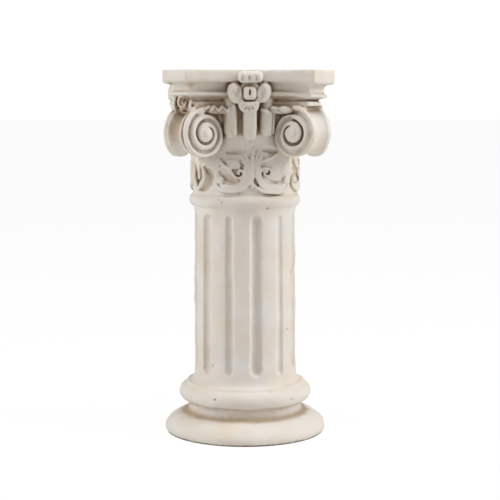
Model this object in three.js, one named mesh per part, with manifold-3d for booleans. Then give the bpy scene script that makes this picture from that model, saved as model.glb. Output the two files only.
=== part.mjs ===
// A cast pedestal column of the composite order, made in one piece.
// From the ground up it has a round base of two tori, a fluted shaft with a ring at its top, a necking
// with palmettes in relief, four diagonal volutes with three lobes between each pair, and a square
// abacus with hollow sides, cut corners and a flower in the middle of each side.
// Millimetres, +Z up. The origin is on the ground at the column's axis, and one flower faces -Y.
import * as THREE from "three";
import { mergeVertices } from "three/addons/utils/BufferGeometryUtils.js";
import Module from "manifold-3d";

// Driving dimensions
const HEIGHT = 400;
const WIDTH = 182; // across the abacus, between the outermost points of two opposite sides
const SHAFT_RADIUS = 55.8;
const FOOT_RADIUS = 91;
const ROUND_SEGMENTS = 32;
const QUARTERS = 4;

// Heights of the parts, from the ground
const SHAFT_FOOT = 64;
const RING_FOOT = 253;
const NECKING_FOOT = 266;
const BELL_FOOT = 302;
const ABACUS_FOOT = 362;

// The shaft's flutes
const FLUTE_COUNT = 12;
const FLUTE_START_DEG = 9; // the flutes don't line up with the flowers
const FLUTE_RADIUS = 8.5;
const FLUTE_DEPTH = 4.9;
const FLUTE_FOOT = 69;
const FLUTE_TOP = 243.5;

// The necking's relief
const NECKING_RADIUS = 57.8;
const PALMETTE_TURN_DEG = 3.7; // the palmettes stand a little off the flowers' line
const STEM_RADIUS = 2.7;

// The volutes, in the upright plane through each corner of the abacus
const VOLUTE_OUT = 84.5; // from the column's axis to the eye
const VOLUTE_HEIGHT = 333; // height of the eye
const VOLUTE_RADIUS = 28.5; // of the spiral, at its top
const VOLUTE_PITCH = 8.3; // how much the spiral closes in one turn
const VOLUTE_TURNS = 2.25;
const VOLUTE_STEP_DEG = 45;
const VOLUTE_HALF_THICKNESS = 19; // at the eye
const VOLUTE_TAPER = 0.14; // the faces draw together towards the outside
const BAND_WIDTH = 4; // of the raised band that winds round each face
const BAND_PROUD = 2;
const EYE_RADIUS = 6.8;

// The abacus, with its mouldings as tiers set back from the topmost
const CORNER_OUT = 111.7; // from the axis to each cut corner
const SIDE_HOLLOW = 12.5; // how far a side's middle lies behind its ends
const ABACUS_TIERS = [
  { foot: 362, top: 366.5, inset: 13.5 },
  { foot: 366, top: 373.5, inset: 16.5 },
  { foot: 373, top: 377, inset: 7.5 },
  { foot: 376.5, top: 387, inset: 9 },
  { foot: 386.5, top: HEIGHT, inset: 0 },
];

// The lobes between the volutes
const LOBE_STEP_DEG = 16.5;
const LOBE_OUT = 60;
const LOBE_HALF_HEIGHT = 26;

// The flowers
const FLOWER_HEIGHT = 376;
const FLOWER_OUT = 82;
const PETAL_HALF_THICKNESS = 6.5;

const wasm = await Module();
wasm.setup();
const rad = THREE.MathUtils.degToRad;

// A closed geometry, placed by a matrix, as a solid with its faces pointing out
function solidFrom(geometry, matrix = new THREE.Matrix4()) {
  const loose = geometry.index ? geometry.toNonIndexed() : geometry.clone();
  const bare = new THREE.BufferGeometry().setAttribute("position", loose.getAttribute("position"));
  const merged = mergeVertices(bare.applyMatrix4(matrix), 1e-3);
  const index = merged.index.array;
  const faces = [];
  for (let i = 0; i < index.length; i += 3) {
    const [a, b, c] = [index[i], index[i + 1], index[i + 2]];
    if (a !== b && b !== c && c !== a) faces.push([a, b, c]);
  }
  const make = (triangles) =>
    new wasm.Manifold(
      new wasm.Mesh({
        numProp: 3,
        vertProperties: merged.attributes.position.array,
        triVerts: new Uint32Array(triangles.flat()),
      }),
    );
  const made = make(faces);
  return made.volume() < 0 ? make(faces.map(([a, b, c]) => [a, c, b])) : made;
}

function turnedAboutAxis(degrees) {
  return new THREE.Matrix4().makeRotationZ(rad(degrees));
}

// The same geometry at every quarter turn of the column
function onEveryQuarter(geometry, firstDegrees = 0) {
  const solids = [];
  for (let k = 0; k < QUARTERS; k++) {
    solids.push(solidFrom(geometry, turnedAboutAxis(firstDegrees + (k * 360) / QUARTERS)));
  }
  return solids;
}

// An egg shape: a sphere stretched to three half sizes, leaned about the Y axis and set in place
function egg(halfSizes, place, leanDegrees = 0, segments = [6, 4]) {
  const sphere = new THREE.SphereGeometry(1, ...segments);
  sphere.rotateX(Math.PI / 2);
  sphere.scale(...halfSizes);
  sphere.rotateY(rad(leanDegrees));
  sphere.translate(...place);
  return sphere;
}

// A rod of three-sided section along a smooth curve through points
function rodThrough(points, radius, steps) {
  const section = new THREE.Shape();
  section.moveTo(0, radius);
  section.lineTo(-radius, -radius);
  section.lineTo(radius, -radius);
  const path = new THREE.CatmullRomCurve3(points);
  return new THREE.ExtrudeGeometry(section, { steps, extrudePath: path, bevelEnabled: false });
}

// The turned body: base, shaft, ring, necking and bell, as radius against height
function turnedBody() {
  const outline = new THREE.Path();
  outline.moveTo(0, 0);
  outline.lineTo(FOOT_RADIUS - 2, 0);
  outline.quadraticCurveTo(FOOT_RADIUS, 1, FOOT_RADIUS, 7);
  outline.bezierCurveTo(FOOT_RADIUS, 16, 81, 21, 66, 25); // lower torus
  outline.lineTo(64, 28); // hollow between the tori
  outline.absellipse(61.3, 42.8, 13, 12.9, rad(-62), rad(72), false); // upper torus
  outline.lineTo(63.3, 57);
  outline.quadraticCurveTo(57, 57.5, SHAFT_RADIUS, SHAFT_FOOT);
  outline.lineTo(SHAFT_RADIUS, RING_FOOT - 5);
  outline.lineTo(57.5, RING_FOOT);
  outline.absellipse(57.5, 259.7, 4.3, 6, rad(-80), rad(80), false); // ring
  outline.lineTo(NECKING_RADIUS, NECKING_FOOT);
  outline.lineTo(NECKING_RADIUS, BELL_FOOT);
  outline.bezierCurveTo(59, 315, 62, 330, 66, ABACUS_FOOT + 1);
  outline.lineTo(0, ABACUS_FOOT + 1);
  const lathe = new THREE.LatheGeometry(outline.getPoints(3), ROUND_SEGMENTS);
  lathe.rotateX(Math.PI / 2);
  return solidFrom(lathe);
}

// A cutter for each of the shaft's flutes, with round ends
function fluteCutters() {
  const length = FLUTE_TOP - FLUTE_FOOT - 2 * FLUTE_RADIUS;
  const capsule = new THREE.CapsuleGeometry(FLUTE_RADIUS, length, 2, 10);
  capsule.rotateX(Math.PI / 2);
  capsule.translate(SHAFT_RADIUS + FLUTE_RADIUS - FLUTE_DEPTH, 0, (FLUTE_FOOT + FLUTE_TOP) / 2);
  const cutters = [];
  for (let k = 0; k < FLUTE_COUNT; k++) {
    cutters.push(solidFrom(capsule, turnedAboutAxis(FLUTE_START_DEG - 90 + (k * 360) / FLUTE_COUNT)));
  }
  return cutters;
}

// The abacus's plan, set back from its topmost tier: four hollow sides and four cut corners
function abacusPlan(inset) {
  const half = WIDTH / 2 - inset;
  const end = Math.SQRT2 * (CORNER_OUT - inset) - half;
  const steps = 5;
  const plan = new THREE.Shape();
  for (let side = 0; side < QUARTERS; side++) {
    for (let i = 0; i <= steps; i++) {
      const along = end * ((2 * i) / steps - 1);
      const out = half - SIDE_HOLLOW * (1 - (along / end) ** 2);
      const point = new THREE.Vector2(along, -out).rotateAround(new THREE.Vector2(), (side * Math.PI) / 2);
      if (side === 0 && i === 0) plan.moveTo(point.x, point.y);
      else plan.lineTo(point.x, point.y);
    }
  }
  return plan;
}

function abacusTiers() {
  return ABACUS_TIERS.map((tier) => {
    const slab = new THREE.ExtrudeGeometry(abacusPlan(tier.inset), {
      depth: tier.top - tier.foot,
      bevelEnabled: false,
    });
    slab.translate(0, 0, tier.foot);
    return solidFrom(slab);
  });
}

// A point of the volute's spiral, some degrees round from its top, as distance out and height
function spiralPoint(turned, radiusLess = 0) {
  const radius = VOLUTE_RADIUS - radiusLess - (VOLUTE_PITCH * turned) / 360;
  return new THREE.Vector2(
    VOLUTE_OUT + radius * Math.sin(rad(turned)),
    VOLUTE_HEIGHT + radius * Math.cos(rad(turned)),
  );
}

function voluteHalfThickness(out) {
  return VOLUTE_HALF_THICKNESS - VOLUTE_TAPER * (out - VOLUTE_OUT);
}

// An upright slab of some outline, whose faces draw together as the volute's do
function voluteSlab(corners, proud) {
  const slab = new THREE.ExtrudeGeometry(new THREE.Shape(corners), { depth: 2, bevelEnabled: false });
  slab.translate(0, 0, -1);
  slab.rotateX(Math.PI / 2);
  const position = slab.attributes.position;
  for (let i = 0; i < position.count; i++) {
    position.setY(i, position.getY(i) * (voluteHalfThickness(position.getX(i)) + proud));
  }
  return slab;
}

// The volute's block runs from the abacus round to the bell, behind the raised bands
function voluteBlock() {
  const corners = [new THREE.Vector2(40, ABACUS_FOOT + 2), new THREE.Vector2(VOLUTE_OUT + 14, ABACUS_FOOT + 2)];
  for (let turned = 24; turned <= 264; turned += 24) corners.push(spiralPoint(turned, BAND_WIDTH / 2));
  corners.push(new THREE.Vector2(40, 340));
  return voluteSlab(corners, -BAND_PROUD);
}

// The raised band winds in on both faces of a volute, towards its eye
function voluteBand() {
  const outer = [];
  const inner = [];
  for (let turned = VOLUTE_STEP_DEG; turned <= 360 * VOLUTE_TURNS; turned += VOLUTE_STEP_DEG) {
    outer.push(spiralPoint(turned));
    inner.unshift(spiralPoint(turned, BAND_WIDTH));
  }
  return voluteSlab([...outer, ...inner], 0);
}

function voluteEye() {
  return egg([EYE_RADIUS, VOLUTE_HALF_THICKNESS + 1, EYE_RADIUS], [VOLUTE_OUT, 0, VOLUTE_HEIGHT], 0, [8, 4]);
}

// A leaf curls over the top of each volute, under the abacus's cut corner
function cornerLeaf() {
  return egg([7, 9, 8], [VOLUTE_OUT + 17, 0, ABACUS_FOOT + 2], 20);
}

// Three lobes stand between each pair of volutes, and the middle one hangs lowest
function lobes() {
  const solids = [];
  for (const step of [-1, 0, 1]) {
    const foot = step === 0 ? 326 : 330.6;
    const lobe = egg([9.5, 9.2, LOBE_HALF_HEIGHT], [LOBE_OUT, 0, foot + LOBE_HALF_HEIGHT], 8);
    solids.push(...onEveryQuarter(lobe, -90 + step * LOBE_STEP_DEG));
  }
  return solids;
}

// A sprig of leaves runs from each flower along the top of the volute beside it
function leafSprigs() {
  const solids = [];
  for (const side of [-1, 1]) {
    const sprig = rodThrough([sprigPoint(side, 18), sprigPoint(side, 36), sprigPoint(side, 52)], 4.5, 3);
    solids.push(...onEveryQuarter(sprig));
  }
  return solids;
}

function sprigPoint(side, along) {
  return new THREE.Vector3(side * along, -(61.5 + along / 3), 359);
}

// Four petals round a square button, standing on the middle of an abacus side
function flowerPieces() {
  const petals = [
    { halfWidth: 12, halfHeight: 9, along: 0, up: 13.5 },
    { halfWidth: 10.5, halfHeight: 11.5, along: -14, up: 0.5 },
    { halfWidth: 10.5, halfHeight: 11.5, along: 14, up: 0.5 },
    { halfWidth: 11, halfHeight: 9.5, along: 0, up: -13 },
  ];
  const pieces = petals.map((petal) =>
    egg(
      [petal.halfWidth, PETAL_HALF_THICKNESS, petal.halfHeight],
      [petal.along, -FLOWER_OUT, FLOWER_HEIGHT + petal.up],
    ),
  );
  const button = new THREE.BoxGeometry(11.5, 15, 12.5).translate(0, -FLOWER_OUT, FLOWER_HEIGHT);
  return [...pieces, button];
}

// A point on the necking: millimetres along its surface from the palmette's middle, and height
function onNecking(along, height, out = NECKING_RADIUS + 0.4) {
  const angle = along / NECKING_RADIUS;
  return new THREE.Vector3(out * Math.sin(angle), -out * Math.cos(angle), height);
}

// The palmette: a middle leaf, and on each side a leaf and a scroll
function palmettePieces() {
  const middleLeaf = [onNecking(0, 272), onNecking(0, 292), onNecking(0, 314, 61.5)];
  const pieces = [rodThrough(middleLeaf, STEM_RADIUS, 3)];
  for (const side of [-1, 1]) {
    const leaf = [
      onNecking(side * 3, 278),
      onNecking(side * 5, 292),
      onNecking(side * 11, 304),
      onNecking(side * 18, 306),
    ];
    const scroll = [
      onNecking(side * 13, 289),
      onNecking(side * 7, 285),
      onNecking(side * 10, 276),
      onNecking(side * 20, 271),
      onNecking(side * 31, 273),
      onNecking(side * 33, 283),
    ];
    pieces.push(rodThrough(leaf, STEM_RADIUS, 3));
    pieces.push(rodThrough(scroll, STEM_RADIUS, 6));
  }
  return pieces;
}

// An upright leaf stands on the necking under each volute
function cornerFlame() {
  return egg([3.8, 6.5, 16], [NECKING_RADIUS - 0.6, 0, 284], 2);
}

// Everything is joined into the one casting
const parts = [turnedBody(), ...abacusTiers(), ...lobes(), ...leafSprigs()];
for (const piece of [voluteBlock(), voluteBand(), voluteEye(), cornerLeaf(), cornerFlame()]) {
  parts.push(...onEveryQuarter(piece, -45));
}
for (const piece of flowerPieces()) parts.push(...onEveryQuarter(piece));
for (const piece of palmettePieces()) parts.push(...onEveryQuarter(piece, PALMETTE_TURN_DEG));

let casting = parts.reduce((whole, piece) => whole.add(piece));
for (const cutter of fluteCutters()) casting = casting.subtract(cutter);

const surface = casting.getMesh();
const geometry = new THREE.BufferGeometry();
geometry.setAttribute("position", new THREE.BufferAttribute(Float32Array.from(surface.vertProperties), 3));
geometry.setIndex(new THREE.BufferAttribute(Uint32Array.from(surface.triVerts), 1));
geometry.computeVertexNormals();

const ivoryCasting = new THREE.MeshStandardMaterial({ color: 0xe4dacb, roughness: 0.82, metalness: 0 });
const pillar = new THREE.Mesh(geometry, ivoryCasting);
pillar.name = "pillar";

const column = new THREE.Group();
column.add(pillar);
export default column;
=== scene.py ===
# %% [markdown]
# # A cast column with a scrolled capital
# The column is one casting: a round base, a fluted shaft, and a capital with scrolls, leaves and flowers
# under a square top. It is ivory white, with a thin tan wash that stays in the hollows. The tan and brown
# laid in the hollows and creases are partly that wash and partly painted shade, and a line of painted
# contact shadow runs along the foot.
# The imported model gives the frame: its place, its size and its box. All of this is made inside that box.

import math

import bpy
import numpy as np
from mathutils import Matrix, Vector, geometry
from mathutils.bvhtree import BVHTree


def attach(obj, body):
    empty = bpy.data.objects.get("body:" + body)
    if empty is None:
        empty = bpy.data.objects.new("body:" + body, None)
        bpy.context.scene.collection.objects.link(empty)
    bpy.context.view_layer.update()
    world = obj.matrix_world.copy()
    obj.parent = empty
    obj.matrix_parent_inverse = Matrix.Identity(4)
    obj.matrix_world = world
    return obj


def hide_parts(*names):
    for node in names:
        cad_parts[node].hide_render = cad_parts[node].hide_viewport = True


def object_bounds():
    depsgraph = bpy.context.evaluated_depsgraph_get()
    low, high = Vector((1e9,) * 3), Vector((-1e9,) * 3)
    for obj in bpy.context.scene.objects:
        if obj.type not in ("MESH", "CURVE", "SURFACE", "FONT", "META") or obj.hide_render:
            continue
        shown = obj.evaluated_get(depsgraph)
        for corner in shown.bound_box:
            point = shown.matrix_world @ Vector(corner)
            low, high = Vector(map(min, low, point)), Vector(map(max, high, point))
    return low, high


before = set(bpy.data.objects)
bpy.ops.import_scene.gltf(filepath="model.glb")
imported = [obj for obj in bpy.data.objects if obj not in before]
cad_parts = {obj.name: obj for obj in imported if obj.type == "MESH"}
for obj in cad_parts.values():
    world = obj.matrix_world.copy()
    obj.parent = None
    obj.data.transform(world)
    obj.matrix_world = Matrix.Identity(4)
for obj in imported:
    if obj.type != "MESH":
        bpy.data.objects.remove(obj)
cad_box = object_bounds()
MM = 0.001
HEIGHT = cad_box[1][2] / MM
HALF_WIDTH = 91
print("frame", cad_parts.keys(), "height", round(HEIGHT, 1), "half width", HALF_WIDTH)

# %% [markdown]
# ## How the pieces are joined
# A caster's pattern is built up from turned, cut and modelled parts, then moulded and poured in one.
# The same is done here. Each part is its own closed shape, in millimetres, and the parts run into each
# other. At the end they are fused by a voxel remesh, which also gives the soft inner corners of a casting.
# The helpers below select one object, build a mesh, and apply a modifier.

# %% Helpers for objects
PARTS = []


def only(obj):
    """Selects one object alone and makes it the active one."""
    bpy.ops.object.select_all(action="DESELECT")
    obj.select_set(True)
    bpy.context.view_layer.objects.active = obj


def object_from(name, points, edges=(), faces=()):
    mesh = bpy.data.meshes.new(name)
    mesh.from_pydata([tuple(p) for p in points], list(edges), list(faces))
    mesh.update()
    obj = bpy.data.objects.new(name, mesh)
    bpy.context.scene.collection.objects.link(obj)
    only(obj)
    return obj


def point_outwards(obj):
    """Merges doubled points and turns all faces to the outside."""
    only(obj)
    bpy.ops.object.mode_set(mode="EDIT")
    bpy.ops.mesh.select_all(action="SELECT")
    bpy.ops.mesh.remove_doubles(threshold=0.001)
    bpy.ops.mesh.normals_make_consistent(inside=False)
    bpy.ops.object.mode_set(mode="OBJECT")
    return obj


def with_modifier(obj, kind, **settings):
    """Adds a modifier, sets it and applies it."""
    only(obj)
    modifier = obj.modifiers.new(kind.title(), kind)
    for name, value in settings.items():
        setattr(modifier, name, value)
    bpy.ops.object.modifier_apply(modifier=modifier.name)
    return obj


def joined(objects, name):
    """Joins objects into the first of them."""
    bpy.ops.object.select_all(action="DESELECT")
    for obj in objects:
        obj.select_set(True)
    bpy.context.view_layer.objects.active = objects[0]
    if len(objects) > 1:
        bpy.ops.object.join()
    objects[0].name = name
    return objects[0]


def copied(obj, matrix):
    """A copy of an object with its own mesh, placed by a matrix."""
    mesh = obj.data.copy()
    mesh.transform(matrix)
    if matrix.determinant() < 0:
        mesh.flip_normals()
    copy = bpy.data.objects.new(obj.name, mesh)
    bpy.context.scene.collection.objects.link(copy)
    return copy


def moved(obj, matrix):
    """The object, moved by a matrix. A copy takes its place."""
    copy = copied(obj, matrix)
    bpy.data.objects.remove(obj)
    return copy


def turned(degrees):
    """A turn about the column's axis."""
    return Matrix.Rotation(math.radians(degrees), 4, "Z")


def keep_at(obj, *degrees):
    """Keeps copies of a part, each turned some degrees about the column's axis."""
    for angle in degrees:
        PARTS.append(copied(obj, turned(angle)))
    bpy.data.objects.remove(obj)


def smooth(t):
    """A soft rise from none at 0 to full at 1."""
    t = min(max(t, 0), 1)
    return t * t * (3 - 2 * t)


# %% [markdown]
# ## The turned body
# Base, shaft, ring, necking and bell are round, so a plasterer runs them with a template cut to the
# profile. The template here is a line of points, radius against height, made of arcs and bends. The spin
# operator carries it round the axis.

# %% Spin the profile
BODY_STEPS = 180


def arc(middle, radii, start, end, steps):
    """An arc of an ellipse, from one angle to another in degrees, counted from outwards to up."""
    points = []
    for i in range(steps + 1):
        angle = math.radians(start + (end - start) * i / steps)
        points.append((middle[0] + radii[0] * math.cos(angle), middle[1] + radii[1] * math.sin(angle)))
    return points


def bend(start, pull_a, pull_b, end, steps):
    """A bend between two points, drawn towards two others on its way."""
    knots = [Vector((*p, 0)) for p in (start, pull_a, pull_b, end)]
    return [(p.x, p.y) for p in geometry.interpolate_bezier(*knots, steps + 1)]


def spun(name, outline):
    points = [(radius, 0, height) for radius, height in outline]
    edges = [(i, i + 1) for i in range(len(points) - 1)]
    obj = object_from(name, points, edges=edges)
    bpy.ops.object.mode_set(mode="EDIT")
    bpy.ops.mesh.select_all(action="SELECT")
    bpy.ops.mesh.spin(steps=BODY_STEPS, angle=2 * math.pi, center=(0, 0, 0), axis=(0, 0, 1))
    bpy.ops.object.mode_set(mode="OBJECT")
    return point_outwards(obj)


NECKING_RADIUS = 57.6
outline = [(0, 0)]
outline += bend((87, 0), (91.8, 3), (90.4, 11), (82, 16.5), 12)
outline += bend((78, 19), (71, 22.4), (64.6, 22.4), (63.6, 24.6), 9)
outline += bend((63.2, 27), (63.2, 31), (63.6, 34), (65.6, 35.2), 6)
outline += arc((61.8, 44.4), (11.8, 10.4), -58, 66, 14)
outline += [(65.8, 55), (64.8, 57.2)]
outline += bend((63.2, 57.2), (59.6, 57.6), (57.6, 60.5), (57, 64), 5)
outline += [(56.6, 80), (56, 160), (55.6, 244)]
outline += bend((56.1, 248), (56.4, 251), (57.2, 252.4), (58.2, 253.4), 4)
outline += arc((57.2, 259.7), (4.6, 6.3), -76, 78, 10)
outline += [(57.8, 266.4), (NECKING_RADIUS, 268), (NECKING_RADIUS, 300)]
outline += bend((57.8, 304), (58.4, 314), (60.5, 322), (64, 331), 6)
outline += [(63, 336), (63, 350), (64, 364), (0, 364)]
body = spun("turned_body", outline)
print("turned body", len(body.data.polygons), "faces")

# %% [markdown]
# ## The flutes
# Twelve flutes with round ends run up the shaft. A half-round scraper cuts them in the real pattern. Here
# a capsule does: a sphere whose upper half is pulled up. All twelve are cut in one boolean, so the wide
# flat fillets between them stay true. They stand a little off the flowers' line, and the four in front
# differ in width, as on the real column.

# %% Cut the flutes
FLUTE_START = 9
FLUTE_FOOT = 69
FLUTE_TOP = 245.5
SHAFT_RADIUS = 56
# Radius and depth of each flute in turn, from the one just right of the front's middle
FLUTES = [(7.2, 5.0), (5.2, 2.8)] + [(7.4, 4.8), (7.8, 4.8)] * 4 + [(7.4, 5.4), (5.4, 3.6)]


def ball(name, half_sizes, place, segments=32, rings=16):
    """A sphere stretched to three half sizes, the start of every rounded part."""
    bpy.ops.mesh.primitive_uv_sphere_add(segments=segments, ring_count=rings, radius=1, location=(0, 0, 0))
    obj = bpy.context.active_object
    obj.name = name
    obj.data.transform(Matrix.Translation(place) @ Matrix.Diagonal((*half_sizes, 1)))
    return obj


def flute_cutter(radius, depth):
    """A capsule as tall as a flute, as deep in the shaft as asked."""
    low = FLUTE_FOOT + radius
    lift = FLUTE_TOP - radius - low
    cutter = ball("flute_cutter", (radius,) * 3, (SHAFT_RADIUS + radius - depth, 0, low))
    for vertex in cutter.data.vertices:
        if vertex.co.z > low + 0.01:
            vertex.co.z += lift
    return cutter


cutters = []
for i, (radius, depth) in enumerate(FLUTES):
    degrees = -90 + FLUTE_START + i * 360 / len(FLUTES)
    cutters.append(moved(flute_cutter(radius, depth), turned(degrees)))
flute_cutters = joined(cutters, "flute_cutters")
with_modifier(body, "BOOLEAN", operation="DIFFERENCE", solver="EXACT", object=flute_cutters)
bpy.data.objects.remove(flute_cutters)
PARTS.append(body)
print("fluted body", len(body.data.polygons), "faces")

# %% [markdown]
# ## The abacus
# The square top has hollow sides and cut corners, and its mouldings follow that plan all round. A
# plasterer would run a second template along the plan. So each step of the moulding is the plan set back
# by some millimetres, and faces are laid between one step and the next.

# %% Build the abacus
CORNER_OUT = 111.7
SIDE_HOLLOW = 12.5
SIDE_STEPS = 24
# Height of each step of the moulding, and how far it is set back
ABACUS_PROFILE = [(HEIGHT, 0), (389.0, 0), (388.0, 1.2), (386.6, 7.0), (385.2, 9.6), (382.0, 10.6)]
ABACUS_PROFILE += [(379.0, 10.2), (377.4, 8.6), (377.0, 7.0), (373.6, 7.0), (373.0, 9.0), (371.4, 13.0)]
ABACUS_PROFILE += [(369.4, 15.8), (367.8, 16.6), (367.0, 13.6), (362.6, 13.6), (361.6, 22.0), (354.0, 34.0)]


def abacus_plan(inset):
    """The plan of the top, set back by inset: four hollow sides with a cut corner between them."""
    half = HALF_WIDTH - inset
    end = math.sqrt(2) * (CORNER_OUT - inset) - half
    points = []
    for side in range(4):
        turn = Matrix.Rotation(side * math.pi / 2, 2)
        for i in range(SIDE_STEPS + 1):
            along = end * (2 * i / SIDE_STEPS - 1)
            out = half - SIDE_HOLLOW * (1 - (along / end) ** 2)
            points.append(turn @ Vector((along, -out)))
    return points


def lofted(name, loops):
    """A closed shape through loops of as many points each, with a face over each end."""
    count = len(loops[0])
    points = [p for loop in loops for p in loop]
    faces = []
    for k in range(len(loops) - 1):
        for i in range(count):
            j = (i + 1) % count
            faces.append((k * count + i, k * count + j, (k + 1) * count + j, (k + 1) * count + i))
    faces.append(tuple(range(count)))
    faces.append(tuple(range((len(loops) - 1) * count, len(loops) * count)))
    return point_outwards(object_from(name, points, faces=faces))


def sagged(along, height):
    """The slab is a little deeper at one end of the front, as cast."""
    to_that_end = smooth((along - 30) / 50)
    return height - 2.6 * to_that_end * smooth((392 - height) / 3) * smooth((height - 366) / 8)


steps = []
for z, inset in ABACUS_PROFILE:
    steps.append([(*p, sagged(p.x, z)) for p in abacus_plan(inset)])
abacus = lofted("abacus", steps)
PARTS.append(abacus)
print("abacus", len(abacus.data.polygons), "faces")

# %% [markdown]
# ## The volutes
# A volute is a scroll on the diagonal. Its two faces are splayed a little, each carries a spiral ridge
# that winds in to a domed eye, and the rim between them is a broad hollow band with a raised border.
# A spiral ridge with a hollow beside it is hard to push and pull by hand, but it is simple to state: each
# point of the face knows how many turns in it lies, and so whether it is on the ridge or in the hollow.
# The face is a fine round grid whose points are raised or sunk by that rule. One face of each scroll is
# wound a little tighter than the other.

# %% Build the volutes
# Where the eye stands, half the scroll's width there, and how fast it narrows outwards
VOLUTE_OUT = 84.8
VOLUTE_HEIGHT = 333
VOLUTE_EYE_HALF = 18.4
VOLUTE_TAPER = 0.14
# The relief: how far the middle stands out, the inner ridges' width and what it gains in a turn, how far
# a ridge's sides drop, and the eye
SNAIL = 4.5
RIDGE_WIDTH = 3.9
RIDGE_GAIN = 0.5
RIDGE_DROP = 0.9
EYE_DOME = 1.2
EYE_SUNK = 0.2
VOLUTE_ANGLES = 240
VOLUTE_RINGS = 56
RIM_STEPS = 44
RIM_BORDER = 4.2
# The front left rim has a groove inside each border: border width, groove's start, width and depth
WIDE_SIDE_GROOVE = (8.6, 3.2, 3.2, 2.6)
TIGHT_SIDE_GROOVE = (6.4, 3, 2, 1.2)
# Each face: radius at the top of the spiral, how much it closes in a turn, turns, groove depth with what
# it gains in a turn, and the width of the outermost ridge
TIGHT_FACE = {"start": 28.4, "pitch": 7.6, "turns": 2.72, "depth": 3.3, "gain": 0.45, "edge": 2.2}
WIDE_FACE = {"start": 29.0, "pitch": 8.4, "turns": 2.62, "depth": 3.6, "gain": 0.15, "edge": 3.9}


def spiral_radius(face, degrees):
    """The spiral, counted in degrees from its top."""
    return face["start"] - face["pitch"] * degrees / 360


def outline_radius(face, degrees):
    """The scroll's outline: the spiral's first turn, and back to its start behind the leaves."""
    closing = smooth((degrees - 292) / 60)
    return spiral_radius(face, degrees) * (1 - closing) + face["start"] * closing


def crown(part):
    """A rounded rise and fall, one in the middle and nothing at either end."""
    return max(0, math.sin(math.pi * min(max(part, 0), 1))) ** 0.6


def winding_relief(face, radius, degrees):
    """The ridge, the hollow beside it and the domed eye."""
    turns_in = (face["start"] - radius) / face["pitch"] - degrees / 360
    eye_radius = spiral_radius(face, face["turns"] * 360)
    eye = EYE_DOME * math.sqrt(max(0, 1 - (radius / eye_radius) ** 2)) - EYE_SUNK
    winding = math.floor(turns_in + 1e-6)
    if winding < 0:
        return -face["depth"]
    if (winding + degrees / 360) > face["turns"]:
        return eye
    across = (turns_in - winding) * face["pitch"]
    width = RIDGE_WIDTH + RIDGE_GAIN * winding if winding else face["edge"]
    if across <= width:
        return -RIDGE_DROP + RIDGE_DROP * crown(across / width)
    hollow = (across - width) / (face["pitch"] - width)
    deeper = 1 + face["gain"] * winding
    relief = -RIDGE_DROP - (face["depth"] * deeper - RIDGE_DROP) * crown(hollow)
    return max(relief, eye - 6) if radius > eye_radius else eye


def face_relief(face, radius, degrees):
    """How far a point of the face stands above its plane. Like a snail's, the windings rise to the eye."""
    rise = SNAIL * max(0, 1 - radius / face["start"]) ** 1.5
    return rise + winding_relief(face, radius, degrees)


def rim_relief(across, half, hollow, grooved):
    """How far the rim is sunk at a place across it: none at the borders, most in the middle.
    A grooved rim has a second, finer border inside the first."""
    inwards = half - abs(across)
    border = RIM_BORDER
    groove = 0
    if grooved:
        border, begin, width, depth = WIDE_SIDE_GROOVE if across > 0 else TIGHT_SIDE_GROOVE
        groove = depth * crown((inwards - begin) / width)
    if inwards < RIM_BORDER:
        return -RIDGE_DROP * (1 - crown(inwards / RIM_BORDER)) - groove
    sunk = 1 - (1 - min(max((inwards - border) / (half - border), 0), 1)) ** 2
    return -RIDGE_DROP * smooth((inwards - RIM_BORDER) / 1.8) - groove - hollow * sunk


def half_width(out):
    """Half the scroll's width at a distance from the column's axis."""
    return VOLUTE_EYE_HALF - VOLUTE_TAPER * (out - VOLUTE_OUT)


def volute(rim_hollow, wider=0):
    """A scroll with its rim sunk by rim_hollow, and wider on its wide-pitched face by some millimetres."""
    points = []

    def at(out, across, up):
        points.append((out, across, up))
        return len(points) - 1

    def grid(face, side):
        """The round grid of one face, ring after ring from the eye outwards."""
        rings = []
        for j in range(1, VOLUTE_RINGS + 1):
            ring = []
            for i in range(VOLUTE_ANGLES):
                degrees = 360 * i / VOLUTE_ANGLES
                radius = outline_radius(face, degrees) * (j / VOLUTE_RINGS) ** 0.9
                out = VOLUTE_OUT + radius * math.sin(math.radians(degrees))
                up = VOLUTE_HEIGHT + radius * math.cos(math.radians(degrees))
                half = half_width(out) + face_relief(face, radius, degrees)
                half += wider if face is WIDE_FACE else 0
                ring.append(at(out, side * half, up))
            rings.append(ring)
        return rings

    wide = grid(WIDE_FACE, 1)
    tight = grid(TIGHT_FACE, -1)
    rim = [wide[-1]]
    for k in range(1, RIM_STEPS):
        across_part = 1 - 2 * k / RIM_STEPS
        blend = (1 + across_part) / 2
        ring = []
        for i in range(VOLUTE_ANGLES):
            degrees = 360 * i / VOLUTE_ANGLES
            wide_edge = outline_radius(WIDE_FACE, degrees)
            tight_edge = outline_radius(TIGHT_FACE, degrees)
            edge = blend * wide_edge + (1 - blend) * tight_edge
            half = half_width(VOLUTE_OUT + edge * math.sin(math.radians(degrees))) - RIDGE_DROP
            half += wider / 2
            radius = edge + rim_relief(across_part * half, half, rim_hollow, wider > 0)
            out = VOLUTE_OUT + radius * math.sin(math.radians(degrees))
            up = VOLUTE_HEIGHT + radius * math.cos(math.radians(degrees))
            ring.append(at(out, across_part * half + wider / 2, up))
        rim.append(ring)
    rim.append(tight[-1])
    faces = []
    for rings in (wide, tight, rim):
        for inner, outer in zip(rings, rings[1:]):
            for i in range(VOLUTE_ANGLES):
                j = (i + 1) % VOLUTE_ANGLES
                faces.append((inner[i], inner[j], outer[j], outer[i]))
    faces.append(tuple(wide[0]))
    faces.append(tuple(tight[0]))
    return point_outwards(object_from("volute", points, faces=faces))


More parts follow.
